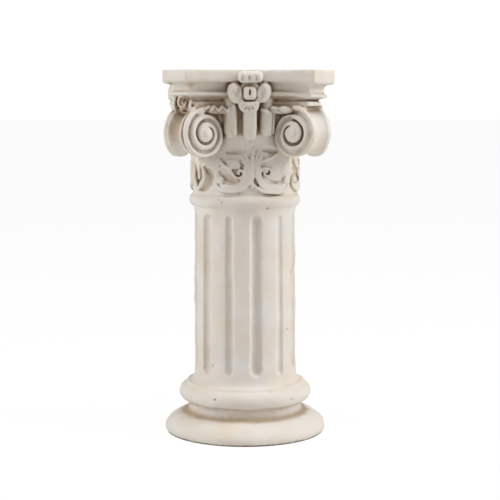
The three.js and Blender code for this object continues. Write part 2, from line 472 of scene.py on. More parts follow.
# The four stand a little off the diagonals. The front left one is wider, with a deep, grooved rim.
scroll = volute(2.6)
print("volute", len(scroll.data.polygons), "faces")
keep_at(scroll, -46.2, 43.8, 133.8)
deep_scroll = volute(7.5, wider=4)
keep_at(deep_scroll, 223.8)

# %% [markdown]
# ## The lobes
# Three lobes hang between each pair of scrolls. Each is a blunt finger with a round end, and has a
# thinner finger or two in front. A finger is a ball drawn up into a rod, and leaned to follow the bell.

# %% Model the lobes
LOBE_OUT = 64.8
LOBE_LEAN = 5
LOBE_RISE = 28


def finger(radius, foot, degrees, out):
    """A hanging finger: a ball drawn up into a rod, and leaned with the bell."""
    middle = radius * 1.3
    obj = ball("finger", (radius, radius, middle), (0, 0, middle))
    for vertex in obj.data.vertices:
        if vertex.co.z > middle + 0.01:
            vertex.co.z += LOBE_RISE
    lean = Matrix.Rotation(math.radians(LOBE_LEAN), 4, "Y")
    return moved(obj, turned(-90 + degrees) @ Matrix.Translation((out, 0, foot)) @ lean)


lobes = [
    finger(7.4, 325.5, 0.6, LOBE_OUT + 0.6),
    finger(3.4, 326.5, 3.4, LOBE_OUT + 5.2),
    finger(7.6, 329.5, -16.8, LOBE_OUT - 0.8),
    finger(3.0, 330.5, -12.6, LOBE_OUT + 4.6),
    finger(7.6, 329.5, 16.5, LOBE_OUT - 0.8),
    finger(2.2, 330.5, 18.6, LOBE_OUT + 5.4),
    finger(1.8, 331.5, 22.6, LOBE_OUT + 3.4),
]
# A plain swelling of the bell fills the gap between the lobes and each scroll
lobes += [finger(8, 336, -30, LOBE_OUT - 5), finger(8, 336, 30, LOBE_OUT - 5)]
lobe_group = joined(lobes, "lobes")
keep_at(lobe_group, 0, 90, 180, 270)
print("lobes on four sides")

# %% [markdown]
# ## Rods and ridges
# The finer relief is drawn as ridges: leaf ribs, the curled leaf and the scrolls on the necking. Each is a
# curve with a round section whose thickness changes from point to point, turned into a mesh. The same
# rods cut grooves and veins.

# %% A ridge through points
def ridge(name, points, thickness):
    """A rod through points, as thick at each as its entry in thickness says."""
    curve = bpy.data.curves.new(name, "CURVE")
    curve.dimensions = "3D"
    curve.bevel_depth = 1
    curve.bevel_resolution = 3
    curve.resolution_u = 5
    curve.use_fill_caps = True
    spline = curve.splines.new("BEZIER")
    spline.bezier_points.add(len(points) - 1)
    for knot, place, radius in zip(spline.bezier_points, points, thickness):
        knot.co = place
        knot.radius = radius
        knot.handle_left_type = knot.handle_right_type = "AUTO"
    obj = bpy.data.objects.new(name, curve)
    bpy.context.scene.collection.objects.link(obj)
    only(obj)
    bpy.ops.object.convert(target="MESH")
    return point_outwards(bpy.context.active_object)


def spiral(middle, radius, start, sweep, steps, closing):
    """Points of a small spiral that closes by a share of its radius, angles in degrees as in an arc."""
    points = []
    for i in range(steps + 1):
        part = i / steps
        angle = math.radians(start + sweep * part)
        now = radius * (1 - closing * part)
        points.append((middle[0] + now * math.cos(angle), middle[1] + now * math.sin(angle)))
    return points


# %% [markdown]
# ## The flowers
# A flower stands on the middle of each hollow side: a square button with a slit, a top petal with three
# dents, a cupped petal on each side, and a fan-shaped petal below. Petals begin as stretched spheres and
# rounded blocks. Dents, cups, grooves and the slit are cut by booleans.

# %% Model a flower
FLOWER_HEIGHT = 375.8
FLOWER_OUT = 75


def cut_by(obj, cutters):
    """Cuts an object by others, joined into one."""
    cutter = joined(cutters, "cutter")
    with_modifier(obj, "BOOLEAN", operation="DIFFERENCE", solver="EXACT", object=cutter)
    bpy.data.objects.remove(cutter)
    return obj


def soft_block(name, size, place, softness):
    """A block with rounded edges."""
    bpy.ops.mesh.primitive_cube_add(size=1, location=(0, 0, 0))
    obj = bpy.context.active_object
    obj.name = name
    obj.data.transform(Matrix.Translation(place) @ Matrix.Diagonal((*size, 1)))
    return with_modifier(obj, "BEVEL", width=softness, segments=6)


def top_petal():
    petal = soft_block("petal", (26, 18, 11.8), (1, -FLOWER_OUT - 4, 392.2), 5)
    dents = []
    for along in (-7.6, -0.6, 6.6):
        dents.append(ball("dent", (1.7, 3.2, 4.4), (along, -FLOWER_OUT - 13.6, 390.2), 16, 8))
    return cut_by(petal, dents)


def side_petal(side):
    """An ear-shaped petal, cupped in front and leaned to the button. The left one has a small fold."""
    lean = Matrix.Rotation(math.radians(side * 14), 4, "Y")
    place = Matrix.Translation((side * 14.6, -FLOWER_OUT, FLOWER_HEIGHT + 0.6)) @ lean
    petal = ball("petal", (8.8, 8, 11.6), (0, 0, 0))
    cup = ball("cup", (4.6, 4.4, 8.4), (side * -1.6, -8.6, -0.8), 24, 12)
    cut_by(petal, [cup])
    if side < 0:
        fold = ball("fold", (1.6, 2.6, 5.2), (0.6, -6.4, 4.4), 16, 10)
        petal = joined([petal, fold], "petal")
    petal.data.transform(place)
    return petal


def bottom_petal():
    """A fan that is widest at its foot, with grooves that spread from the button."""
    petal = ball("petal", (11.4, 8, 9.6), (-0.4, -FLOWER_OUT, 364))
    grooves = []
    for lean in (-62, -30, 0, 30, 62):
        angle = math.radians(lean)
        points = []
        for reach in (3.5, 6.5, 9.2):
            front = -FLOWER_OUT - 7.6 + 0.035 * reach**2
            points.append((-0.4 + reach * math.sin(angle), front, 366.5 - 1.02 * reach * math.cos(angle)))
        grooves.append(ridge("groove", points, [1.0, 1.6, 1.0]))
    return cut_by(petal, grooves)


def button():
    block = soft_block("button", (13, 18, 14.2), (0.2, -FLOWER_OUT - 0.6, FLOWER_HEIGHT), 3.6)
    slit = ball("slit", (1.2, 3.4, 4.2), (0.1, -FLOWER_OUT - 10, FLOWER_HEIGHT + 1), 16, 10)
    return cut_by(block, [slit])


heart = soft_block("petal", (20, 16, 22), (0.4, -FLOWER_OUT + 3.4, FLOWER_HEIGHT + 1), 5)
petals = joined([heart, top_petal(), side_petal(-1), side_petal(1), bottom_petal()], "petals")
with_modifier(petals, "REMESH", mode="VOXEL", voxel_size=0.7)
gap = soft_block("gap", (16.8, 12, 18), (0.2, -FLOWER_OUT - 8.4, FLOWER_HEIGHT), 4)
cut_by(petals, [gap])
flower = joined([petals, button()], "flower")
keep_at(flower, 0, 90, 180, 270)
print("flowers on four sides")

# %% [markdown]
# ## Leaf sprigs
# A sprig runs from each flower to both corners, in the hollow between the abacus and the scrolls. A long
# shoulder fills that hollow and carries the leaves. A leaf is a stretched sphere, leaned, so that it
# overlaps its neighbour. The two ends of a sprig differ, as on the real column.

# %% Lay the leaf sprigs
def leaf(half_sizes, place, lean, swing):
    """A stretched sphere, leaned in the front's plane and then swung about the upright."""
    shape = ball("leaf", half_sizes, (0, 0, 0), 24, 12)
    turn = Matrix.Rotation(math.radians(swing), 4, "Z") @ Matrix.Rotation(math.radians(lean), 4, "Y")
    return moved(shape, Matrix.Translation(place) @ turn)


def sprig_out(along):
    """How far out the sprig lies at a distance along the side: it follows the hollow side."""
    return 66.5 + 9 * (along / 58) ** 2


def on_the_sprig(line, proud):
    """Points along the side and up, laid where the sprig lies and then brought forward."""
    return [(along, -sprig_out(along) - proud, height) for along, height in line]


def sprig_leaf(along, height, half_length, half_width, lean, proud):
    place = (along, -sprig_out(along) - proud, height)
    return leaf((half_width, 5.5, half_length), place, lean, swing=math.copysign(8, along))


sprig = []
# The shoulder, in two runs with the flower between them
for run in ((-60, -45, -30, -16), (16, 30, 45, 60)):
    line = [(along, 358.6) for along in run]
    sprig.append(ridge("shoulder", on_the_sprig(line, -3.4), [4.6, 4.8, 4.8, 4.6]))
# On the left, six small leaves that lean one way and the other, and a cup-shaped one by the corner
for along, height, half_length, half_width, lean in (
    (-44.6, 360.2, 4.6, 1.9, 56),
    (-39.4, 359.4, 5.4, 2.3, 40),
    (-33.4, 358.8, 4.8, 1.6, -44),
    (-30, 359.4, 5.4, 2.1, 36),
    (-24.8, 358.8, 4.8, 1.6, -40),
    (-20.6, 359.2, 5.4, 2.3, 30),
):
    sprig.append(sprig_leaf(along, height, half_length, half_width, lean, 0.9))
cup = [(-57.4, 363), (-57, 358.6), (-53.6, 355.4), (-49, 355.6), (-46.6, 358.6)]
sprig.append(ridge("cup", on_the_sprig(cup, 2.4), [1.5, 1.9, 2.1, 1.9, 1.4]))
# On the right, a pointed leaf by the flower, a flat one, a broad veined leaf and a small one
for along, height, half_length, half_width, lean, proud in (
    (17.4, 357.2, 6.6, 2.5, -66, 2.6),
    (27.4, 360.4, 7, 2.2, -82, 0.6),
    (38.6, 359, 8.4, 4.0, -80, 2.2),
    (51, 360, 6.6, 3.0, -72, 1.6),
):
    sprig.append(sprig_leaf(along, height, half_length, half_width, lean, proud))
broad_leaf = sprig[-2]
for vein in (
    [(33, 358.2), (39, 359.2), (44.6, 360.2)],
    [(34, 360.4), (38.6, 361), (42.6, 362)],
    [(35, 356.6), (40, 357), (44, 358)],
):
    cut_by(broad_leaf, [ridge("vein", on_the_sprig(vein, 7.6), [0.6, 0.9, 0.6])])
sprigs = joined(sprig, "leaf_sprigs")
keep_at(sprigs, 0, 90, 180, 270)
print("sprigs on four sides")

# %% [markdown]
# ## The corner leaf
# Under the front left corner a leaf curls out over the scroll, with deep dark folds. The front right
# corner has only a plain post between the scroll and the abacus. The hidden corners repeat the two in
# turn. The leaf is made of a rounded back, a curl and three ribs, and then fused and cut.

# %% Curl the corner leaf
def corner_leaf():
    """A leaf that rises from the scroll and curls over. A deep eye is left inside the curl."""
    back = ball("leaf_back", (8, 15, 9.5), (91, 0.5, 362), 24, 12)
    line = spiral((2.2, 366), 7.2, 75, 330, steps=12, closing=0.5)
    curl = ridge("curl", [(100.5, across, height) for across, height in line], [1.9] * 8 + [1.5] * 5)
    pieces = [back, curl, ball("curl_back", (6, 8, 8.4), (94, 2.6, 366), 24, 12)]
    for across, low, top in ((-9.6, 355, 374), (12, 353, 370), (16.5, 354, 363)):
        rib = [(94, across, low), (99.4, across, low + 4), (99.8, across, top - 5), (96, across * 0.9, top)]
        pieces.append(ridge("rib", rib, [1.8, 2.0, 2.0, 1.4]))
    leaf_body = joined(pieces, "corner_leaf")
    with_modifier(leaf_body, "REMESH", mode="VOXEL", voxel_size=0.6)
    eyes = [
        ball("eye", (6, 2.4, 2.6), (100.5, 3.6, 367.2), 16, 10),
        ball("eye", (5, 1.4, 4.5), (100.5, -7, 363), 16, 10),
        ball("eye", (5, 4, 1.6), (99, 1, 357), 16, 10),
    ]
    return cut_by(leaf_body, eyes)


# The plain corners have a post instead, which stands on the scroll
keep_at(soft_block("post", (17, 25, 18), (83, 0, 359), 3), 315, 135)
curled_leaf = corner_leaf()
keep_at(curled_leaf, 225, 45)
print("corner leaves on two corners")

# %% [markdown]
# ## The relief on the necking
# A palmette stands on each side: a middle leaf, leaves that curve out, a small spiral on each side, and a
# broad band that sweeps down and out and ends in a knob. It is drawn flat, in millimetres along the
# surface and up, and wrapped round the necking afterwards.

# %% Draw and wrap the palmette
# How far a ridge's middle stands off the necking, and a share by which all ridges are thickened
RELIEF_LIFT = 1.5
BOLDNESS = 1.18


def wrapped(obj):
    """Bends a flat relief round the necking: along becomes an angle, and height over the flat a radius."""
    for vertex in obj.data.vertices:
        along, lift, up = vertex.co
        angle = along / NECKING_RADIUS
        radius = NECKING_RADIUS + lift + bell_flare(up)
        vertex.co = (radius * math.sin(angle), -radius * math.cos(angle), up)
    return obj


def bell_flare(up):
    """How much the bell has widened at a height."""
    return 0.012 * max(0, up - 304) ** 1.9


def drawn(points, thickness, lift=RELIEF_LIFT):
    """A ridge of the relief through points along and up, one thickness or one for each point."""
    if not isinstance(thickness, list):
        thickness = [thickness * 0.7] + [thickness] * (len(points) - 2) + [thickness * 0.8]
    thickness = [BOLDNESS * t for t in thickness]
    return ridge("relief", [(along, lift, up) for along, up in points], thickness)


def knob(along, up, size):
    return ball("knob", (size, 3.2, size), (along, 0.8, up), 24, 12)


def palmette_left():
    """The half left of the stem."""
    return [
        # The broad band: its lower ridge, its upper ridge and the hollow between them
        drawn([(-36, 280), (-32.3, 275.4), (-26.3, 272), (-19.2, 270.8), (-12.4, 271), (-5.7, 274),
               (-0.6, 278.6), (1.9, 284), (2.2, 289.6), (0.6, 295), (-2.6, 300), (-7, 304)], 1.6),
        drawn([(-24.5, 279), (-19.2, 277.3), (-13.8, 278.2), (-9.1, 280.8), (-5.4, 285), (-3.1, 289.3),
               (-3.2, 294), (-5, 298)], 1.3),
        drawn([(-30.4, 280.2), (-26.3, 275.9), (-19.2, 274), (-13.1, 274.6), (-7.4, 277.2), (-3.2, 281.5),
               (-0.8, 286.5), (-0.6, 292)], 2.9, -0.6),
        knob(-30.6, 283.6, 4.6),
        # The small spiral and the leaf it grows from
        drawn([(-25, 298.4), (-20.5, 296), (-17.6, 291.6), (-13.6, 286.9), (-9.1, 285.9), (-5.8, 288),
               (-5.2, 291.2), (-7, 293.6), (-9.8, 293.2), (-10.8, 290.9), (-8.9, 289.6)], 1.35),
        drawn([(-30.3, 306), (-28.1, 301.2), (-24.5, 298), (-19.2, 296.6), (-13.7, 296.8), (-9, 296.4)],
              1.2),
        drawn([(-24.8, 302.8), (-19.9, 304.6), (-14.4, 304), (-9, 301)], 1.1, 0.4),
        drawn([(-23, 300.6), (-15, 300.6), (-8, 298.6)], 2.8, -1.0),
        # Two leaves of the fan
        drawn([(3.4, 295.7), (1.2, 301.8), (-1.7, 308.5), (-3.7, 313.8)], 1.3, 0.7),
        drawn([(2.9, 291), (-0.1, 299.1), (-4.6, 305.5), (-8, 309)], 1.2, 0.6),
    ]


def palmette_right():
    """The half right of the stem, a little different from the left one."""
    return [
        drawn([(11.4, 300), (8.6, 293), (8.5, 286.9), (10.7, 281.1), (15.2, 275.8), (21.7, 272.6),
               (28, 271.8)], 1.4),
        drawn([(4.9, 280.5), (9, 275.4), (15.2, 271.4), (25.5, 270), (36.2, 270.2), (44.4, 272.8),
               (48.4, 278)], 1.6),
        drawn([(12, 297.7), (10.8, 291.6), (11.4, 285.5), (14.5, 280.1), (21, 275.8), (29.4, 274.2),
               (38, 274.6), (43.8, 278.4)], 2.9, -0.5),
        drawn([(14.1, 296), (12.6, 290.9), (13.6, 285.5), (16.8, 281.2), (21.7, 278.6), (27.8, 277.6),
               (36, 277.8)], 1.2),
        knob(45, 282.6, 4.8),
        # The small spiral
        drawn([(13.4, 292), (14.6, 294.8), (17.6, 296.6), (22, 295.6), (24.9, 292.6), (24, 289.2),
               (20.6, 287.6), (17.4, 289.4), (17.4, 292.2), (19.8, 292.9), (20.8, 291.2)], 1.25),
        # Three leaves of the fan
        drawn([(6.6, 293), (6.9, 301.1), (8.8, 307.8), (9.6, 314.5)], 1.2, 0.7),
        drawn([(7.9, 294), (10.3, 302.4), (14.1, 308.4), (15.5, 314)], 1.4, 0.7),
        drawn([(9.6, 295), (13.8, 302), (20.2, 306), (27, 308.4), (31.5, 312)], 1.5, 0.7),
    ]


def stem():
    return drawn([(4.2, 275), (4.1, 287.6), (3.9, 295.7), (4, 303.8), (4.8, 311.9), (5.6, 319)],
                 [1.6, 2.0, 1.9, 1.7, 1.7, 1.0], 0.9)


def flame_leaf():
    """The upright leaf with pointed tips, where the left side has no right-hand scroll."""
    return [
        drawn([(-53.6, 297), (-50.4, 289.5), (-51.4, 283.3), (-56, 277.6), (-63, 272)],
              [0.9, 2.2, 2.5, 2.5, 1.6]),
        drawn([(-73, 298), (-69.6, 291.2), (-69.6, 283.9), (-66.4, 277.4), (-64.4, 272)],
              [0.9, 1.9, 2.2, 2.2, 1.6]),
        drawn([(-61.6, 298.4), (-60.6, 290.6), (-60.8, 283)], [0.9, 2.2, 1.8], 0.6),
        drawn([(-78, 309), (-75.6, 303), (-76.4, 296), (-79, 288), (-78, 278)], 1.6, 0.6),
        drawn([(-64, 308), (-59.6, 302.6), (-55, 306.5)], 1.7, 0.5),
    ]


def pockets():
    """What is cut into the necking: the hollows beside the bands and above the leaves."""
    return [
        drawn([(-31, 293.4), (-27, 289.4), (-22, 285.6), (-17, 283.6), (-12.5, 283)],
              [3.2, 4.4, 4.8, 4.2, 2.8], 2.6),
        drawn([(-33, 292), (-27, 293), (-22.6, 291.4)], [2.4, 3.2, 2.6], 1.2),
        drawn([(20.6, 283.2), (28, 280.6), (35, 280.2), (38.4, 282)], [1.6, 2.0, 2.0, 1.8], 0.9),
        drawn([(-24, 314), (-14, 314.6), (-5, 313)], [3.0, 4.0, 2.4], 2.2),
        drawn([(16, 316), (24, 315.4), (33, 313)], [2.4, 3.6, 2.6], 2.0),
        drawn([(-16.5, 268.6), (-5.7, 269.4), (0, 269)], 0.8, 0),
        drawn([(16, 268.6), (26, 268.2), (36.2, 268.2)], 0.8, 0),
    ]


def crescent():
    """The deep fold that is cut beside the flame leaf."""
    return drawn([(-49.6, 294.5), (-44.4, 290.8), (-43, 284.3), (-45.2, 278.6), (-51, 273.4),
                  (-60, 270.2)], [1.4, 3.0, 3.6, 3.4, 2.8, 1.4], 0.4)


# The front and right sides have the full palmette. The others have its left half and a flame leaf.
full = wrapped(joined(palmette_left() + palmette_right() + [stem()], "palmette"))
half = wrapped(joined(palmette_left() + [stem()], "palmette"))
flame = wrapped(joined(flame_leaf(), "flame_leaf"))
keep_at(full, 0, 90)
keep_at(half, 180, 270)
keep_at(flame, 0, 270)
cutters = []
for angle in (0, 90, 180, 270):
    cutters += [moved(wrapped(pocket), turned(angle)) for pocket in pockets()]
for angle in (0, 270):
    cutters.append(moved(wrapped(crescent()), turned(angle)))
# Air bubbles in the cast left a few pits, here by angle from the front, height and radius from the axis
for degrees, height, out in (
    (-15, 60.5, 59.6), (20, 54.4, 67), (-30, 46.5, 73), (40, 44, 73.4), (-11, 214, 53.4), (-30, 262, 61.4),
    (-27, 259.4, 61.6), (21, 252.4, 57.2), (3, 268.4, 58.4), (9, 160, 56), (52, 118, 56), (140, 236, 56),
    (200, 44, 73.4), (95, 150, 56), (-100, 40, 73.2), (60, 180, 56),
):
    pit = ball("pit", (1.5, 1.5, 1.5), (0, -out, height), 12, 8)
    cutters.append(moved(pit, turned(degrees)))
pocket_cutters = joined(cutters, "pocket_cutters")
with_modifier(pocket_cutters, "REMESH", mode="VOXEL", voxel_size=0.6)
cut_by(body, [pocket_cutters])
print("relief on four sides, body", len(body.data.polygons), "faces")

# %% [markdown]
# ## One casting
# All the parts are joined and fused. The remesh keeps only the outside of the overlapping shapes, at a
# voxel finer than the smallest ridge. A little smoothing takes off the voxels' steps, and two soft
# displacements give the slightly uneven skin of a hand-finished mould. They fade out at the foot and the
# top, which stay level. The mesh is then thinned out where it is flat, because the export takes up to
# 200,000 triangles.

# %% Fuse, soften and thin
VOXEL = 0.65
TRIANGLES = 190000
END_FADE = 7
FADE_GROUP = "away_from_the_ends"

casting = joined(PARTS, "cast_column")
print("before fusing", len(casting.data.polygons), "faces")
with_modifier(casting, "REMESH", mode="VOXEL", voxel_size=VOXEL, adaptivity=0)
print("after fusing", len(casting.data.polygons), "faces")
with_modifier(casting, "SMOOTH", factor=0.5, iterations=2)


def fade_to_the_ends(obj):
    """Makes a vertex group that is full along the column and fades out at the foot and the top face."""
    group = obj.vertex_groups.new(name=FADE_GROUP)
    for vertex in obj.data.vertices:
        from_an_end = min(vertex.co.z, HEIGHT - vertex.co.z)
        group.add([vertex.index], smooth(from_an_end / END_FADE), "REPLACE")


def uneven(obj, name, size, strength):
    """Moves the skin in and out by a soft random pattern of some size in millimetres."""
    pattern = bpy.data.textures.new(name, "CLOUDS")
    pattern.noise_scale = size
    pattern.noise_depth = 1
    how = {"texture_coords": "LOCAL", "strength": strength, "mid_level": 0.5, "vertex_group": FADE_GROUP}
    with_modifier(obj, "DISPLACE", texture=pattern, **how)


fade_to_the_ends(casting)
uneven(casting, "slow_lumps", 24, 2.2)
uneven(casting, "small_lumps", 7, 0.55)
casting.vertex_groups.clear()
faces_now = sum(len(p.vertices) - 2 for p in casting.data.polygons)
with_modifier(casting, "DECIMATE", ratio=min(1, TRIANGLES / faces_now))
print("thinned to", len(casting.data.polygons), "triangles")

# %% [markdown]
# ## Flat where it must be flat
# The underside rests on the ground and the top carries things, so both are brought back to their planes.
# Then the column goes from millimetres to the frame's metres.

# %% True up the ends and scale to metres
END_REACH = 0.9


def level(obj, height, reach):
    """Brings the points near a height onto it."""
    for vertex in obj.data.vertices:
        if abs(vertex.co.z - height) < reach:
            vertex.co.z = height


def keep_largest(obj):
    """Removes loose bits, such as a pocket shut in between two parts."""
    name = obj.name
    only(obj)
    bpy.ops.object.mode_set(mode="EDIT")
    bpy.ops.mesh.select_all(action="SELECT")
    bpy.ops.mesh.separate(type="LOOSE")
    bpy.ops.object.mode_set(mode="OBJECT")
    bits = sorted(bpy.context.selected_objects, key=lambda o: -len(o.data.vertices))
    for bit in bits[1:]:
        bpy.data.objects.remove(bit)
    bits[0].name = name
    return bits[0]


casting = keep_largest(casting)
level(casting, 0, END_REACH)
level(casting, HEIGHT, END_REACH)
casting.data.transform(Matrix.Scale(MM, 4))
only(casting)
bpy.ops.object.shade_smooth()
print("column", [round(v, 4) for v in casting.dimensions])

# %% [markdown]
# ## Where the wash and the painted shade lie
# The tan wash is wiped off what stands out and stays in what lies deep. The same colour is also laid as
# painted shade where light is blocked. How deep a point lies is measured by rays: from each point some are
# sent out over the surface, and those that meet the column again are counted. Rays that are stopped close
# by tell a crease, and rays that are stopped further off tell a sheltered place. Both shares are kept on
# the mesh, as attributes that the material reads, so they paint shade as well as wash. A wiping hand isn't
# even, so a few places have some more wash or less, and a few darkened places are painted shade.

# %% Measure the hollows
RAYS = 30
# In metres: what counts as close by, how far a ray goes, and how far off the surface it starts
NEAR = 0.007
FAR = 0.045
OFF_THE_SKIN = 0.0003
# In millimetres: the hollow ring above the foot, where more tan is laid as wash and as painted shade, with
# its reach outwards and up, and the line of painted contact shadow along the foot's bottom edge
RING_OUT = 65
RING_HEIGHT = 23
RING_REACH = (5, 3.5)
RING_WASH_AND_SHADE = 0.28
# The painted contact shadow: how high up the foot it reaches, and how much it adds to the brown
CONTACT_SHADOW_HEIGHT = 1.6
CONTACT_SHADOW = 0.5
# Places in millimetres where more tan was laid, or where it was wiped off, with reach and amount: some for
# wash left by an uneven hand, and some as painted shade, such as the dark band on the front left scroll's
# rim
WASH_AND_SHADE_LEFT = [
    ((-80, -74, 340), 15, 0.42),
    ((81, 74, 340), 15, 0.35),
    ((-66, -70, 353), 8, 0.55),
    ((42, -77, 333), 8, 0.2),
    ((-68, -72, 366), 10, 0.3),
    ((-62, -80, 386), 5, 0.3),
    ((-36, -70, 361), 13, 0.3),
    ((38, -70, 361), 13, 0.14),
    ((-14, -62, 315), 16, 0.14),
    ((14, -62, 315), 16, 0.14),
    ((-17, -56, 285), 9, 0.22),
    ((60, 10, 316), 18, 0.12),
    ((40, -40, 60), 20, -0.1),
]


def ray_directions(count):
    """Directions spread evenly over a half sphere round +Z, more of them near its top."""
    directions = []
    golden = math.pi * (3 - math.sqrt(5))
    for i in range(count):
        up = math.sqrt((i + 0.5) / count)
        out = math.sqrt(1 - up * up)
        directions.append(Vector((out * math.cos(golden * i), out * math.sin(golden * i), up)))
    return directions


def measure_hollows(obj):
    """Keeps two shares for each point: rays stopped close by, and rays stopped further off."""
    mesh = obj.data
    tree = BVHTree.FromObject(obj, bpy.context.evaluated_depsgraph_get())
    directions = ray_directions(RAYS)
    # Both shares later colour the surface tan and brown, partly as wash and partly as painted shade in the
    # hollows
    brown_wash_and_shade_values = np.zeros(len(mesh.vertices), dtype=np.float32)
    tan_wash_and_shade = np.zeros(len(mesh.vertices), dtype=np.float32)
    for k, vertex in enumerate(mesh.vertices):
        turn = vertex.normal.to_track_quat("Z", "Y").to_matrix()
        start = vertex.co + vertex.normal * OFF_THE_SKIN
        for direction in directions:
            distance = tree.ray_cast(start, turn @ direction, FAR)[3]
            if distance is not None:
                tan_wash_and_shade[k] += 1 - 0.5 * distance / FAR
                brown_wash_and_shade_values[k] += max(0, 1 - distance / NEAR)
    brown_wash_and_shade_values /= RAYS
    tan_wash_and_shade /= RAYS
    points = np.array([vertex.co for vertex in mesh.vertices])
    # More tan at the listed places: uneven wash, and painted shade on the front left scroll's rim
    for place, reach, amount in WASH_AND_SHADE_LEFT:
        away = np.linalg.norm(points - np.array(place) * MM, axis=1) / (reach * MM)
        tan_wash_and_shade += (amount * np.exp(-(away**2))).astype(np.float32)
    # More tan lies in the hollow above the foot, as wash and as painted shade, and a line of painted
    # contact shadow is added to the brown where the foot meets the ground
    outwards = np.hypot(points[:, 0], points[:, 1])
    from_the_ring = (outwards - RING_OUT * MM) / (RING_REACH[0] * MM)
    above_the_ring = (points[:, 2] - RING_HEIGHT * MM) / (RING_REACH[1] * MM)
    hollow = np.exp(-(from_the_ring**2) - above_the_ring**2)
    tan_wash_and_shade += (RING_WASH_AND_SHADE * hollow).astype(np.float32)
    # Painted contact shadow along the foot's bottom edge
    brown_wash_and_shade_values[points[:, 2] < CONTACT_SHADOW_HEIGHT * MM] += CONTACT_SHADOW
    # Kept for the material, which paints brown in the creases and tan in sheltered places, as wash and as
    # painted shade
    for name, values in (("brown_wash_and_shade", brown_wash_and_shade_values), ("tan_wash_and_shade", tan_wash_and_shade)):
        mesh.attributes.new(name, "FLOAT", "POINT").data.foreach_set("value", values)
        shares = [round(float(v), 2) for v in np.percentile(values, [25, 50, 75, 90, 97])]
        print(name, "shares at 25, 50, 75, 90 and 97 of a hundred points", shares)


measure_hollows(casting)

# %% [markdown]
# ## The finish
# The casting is matt ivory in soft, warmer and cooler patches. Where it is sheltered it is coloured tan,
# and
# in the creases brown: partly the wash and partly painted shade, with a painted contact shadow at the foot.
# Both follow the measured shares, broken up by a fine noise, and a still finer noise gives the surface its
# grain.

# %% Make the material
PATCH_COLOURS = [(0.32, (0.725, 0.64, 0.54, 1)), (0.68, (0.745, 0.71, 0.665, 1))]
# Tan and brown are laid in the hollows and creases, partly as the wash and partly as painted shade
TAN_WASH_AND_SHADE = (0.46, 0.34, 0.22, 1)
BROWN_WASH_AND_SHADE = (0.16, 0.1, 0.06, 1)


def node(tree, kind, place, **settings):
    made = tree.nodes.new(kind)
    made.location = place
    for name, value in settings.items():
        setattr(made, name, value)
    return made


def noise_over(tree, coordinates, place, scale, detail):
    """A noise that stays with the object."""
    made = node(tree, "ShaderNodeTexNoise", place)
    made.inputs["Scale"].default_value = scale
    made.inputs["Detail"].default_value = detail
    tree.links.new(coordinates.outputs["Object"], made.inputs["Vector"])
    return made


def broken_up(tree, share, shift, place):
    """A measured share with the fine noise added."""
    made = node(tree, "ShaderNodeMath", place, operation="ADD")
    tree.links.new(share.outputs["Fac"], made.inputs[0])
    tree.links.new(shift.outputs["Value"], made.inputs[1])
    return made


def wash_and_shade_laid(tree, under, wash_and_shade_colour, amount, low, high, most, places):
    """Lays a colour of wash and painted shade over a colour: none of it up to a low amount, most of it from
    a high one.
    """
    cover = node(tree, "ShaderNodeMapRange", places[0], interpolation_type="SMOOTHSTEP")
    cover.inputs["From Min"].default_value = low
    cover.inputs["From Max"].default_value = high
    cover.inputs["To Max"].default_value = most
    tree.links.new(amount.outputs["Value"], cover.inputs["Value"])
    mixed = node(tree, "ShaderNodeMix", places[1], data_type="RGBA")
    mixed.inputs["B"].default_value = wash_and_shade_colour
    tree.links.new(cover.outputs["Result"], mixed.inputs["Factor"])
    tree.links.new(under, mixed.inputs["A"])
    return mixed.outputs["Result"]


